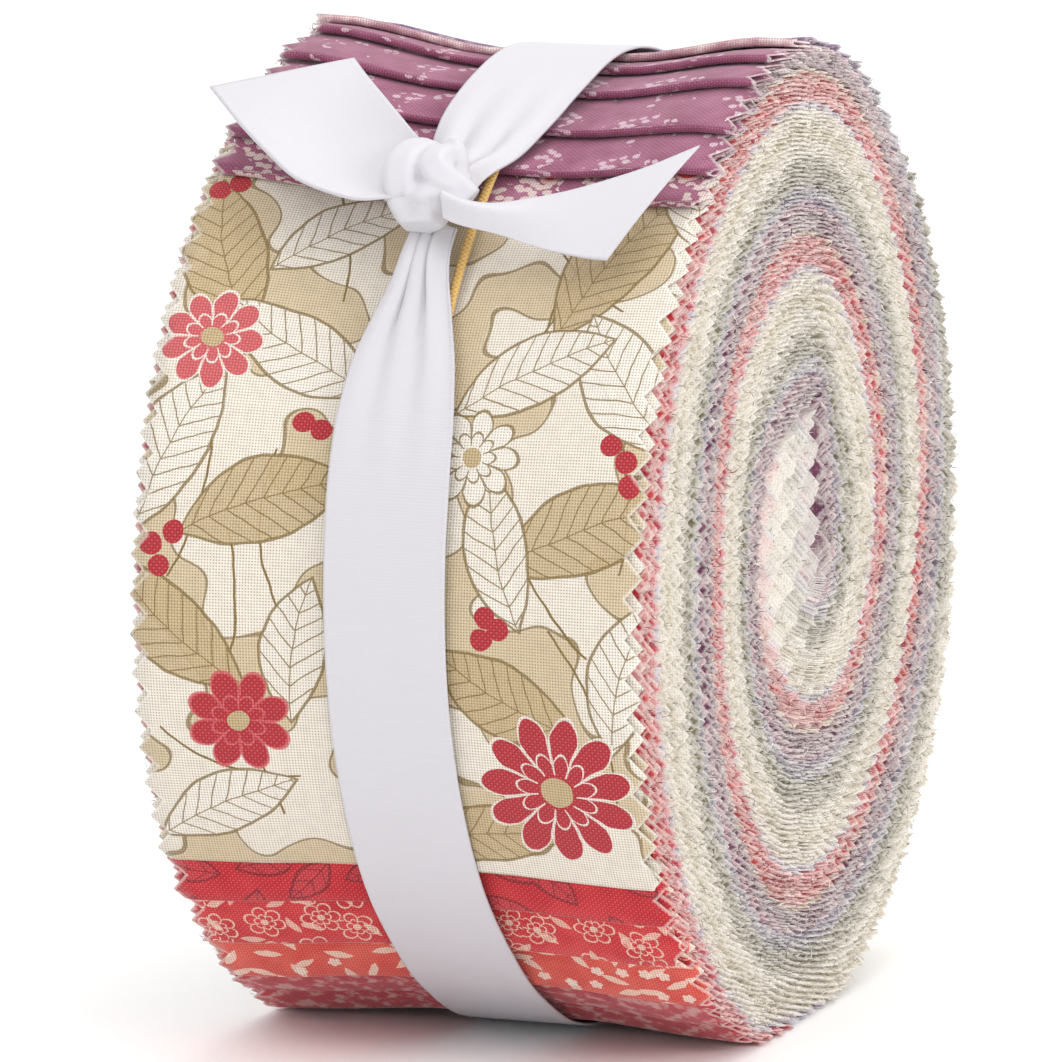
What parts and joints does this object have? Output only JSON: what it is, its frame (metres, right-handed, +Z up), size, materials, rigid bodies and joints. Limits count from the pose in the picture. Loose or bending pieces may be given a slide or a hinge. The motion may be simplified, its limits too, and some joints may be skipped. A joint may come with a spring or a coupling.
{
  "type": "roll of quilting fabric strips",
  "caption": "Roll of pinked printed-cotton strips, each folded double and wound edge up, tied round its middle with a narrow satin ribbon that ends in a knot and free ends.",
  "frame": {"origin": "on the surface the roll rests on, under the middle of the roll", "axes": "+X along the roll's axis, out of its open wound face; +Y to the back; +Z up; the outermost strip faces -Y"},
  "size_m": [0.0636, 0.1215, 0.121],
  "materials": {
    "wound_strips": "matte woven cotton",
    "strip_end_mauve": "matte woven cotton",
    "strip_end_plum_1": "matte woven cotton",
    "strip_end_plum_2": "matte woven cotton",
    "strip_end_plum_3": "matte woven cotton",
    "strip_end_plum_4": "matte woven cotton",
    "strip_end_plum_5": "matte woven cotton",
    "strip_front_cream": "matte woven cotton",
    "strip_end_red_1": "matte woven cotton",
    "strip_end_red_2": "matte woven cotton",
    "strip_end_coral": "matte woven cotton",
    "elastic_band": "satin",
    "ribbon_satin": "satin"
  },
  "bodies": {
    "root": {"wound_strips": "wound_strips", "strip_end_mauve": "strip_end_mauve", "strip_end_plum_1": "strip_end_plum_1", "strip_end_plum_2": "strip_end_plum_2", "strip_end_plum_3": "strip_end_plum_3", "strip_end_plum_4": "strip_end_plum_4", "strip_end_plum_5": "strip_end_plum_5", "strip_front_cream": "strip_front_cream", "strip_end_red_1": "strip_end_red_1", "strip_end_red_2": "strip_end_red_2", "strip_end_coral": "strip_end_coral", "elastic_band": "elastic_band", "ribbon_band": "ribbon_satin", "ribbon_knot": "ribbon_satin", "ribbon_tail_left": "ribbon_satin", "ribbon_tail_right": "ribbon_satin"}
  },
  "joints": []
}
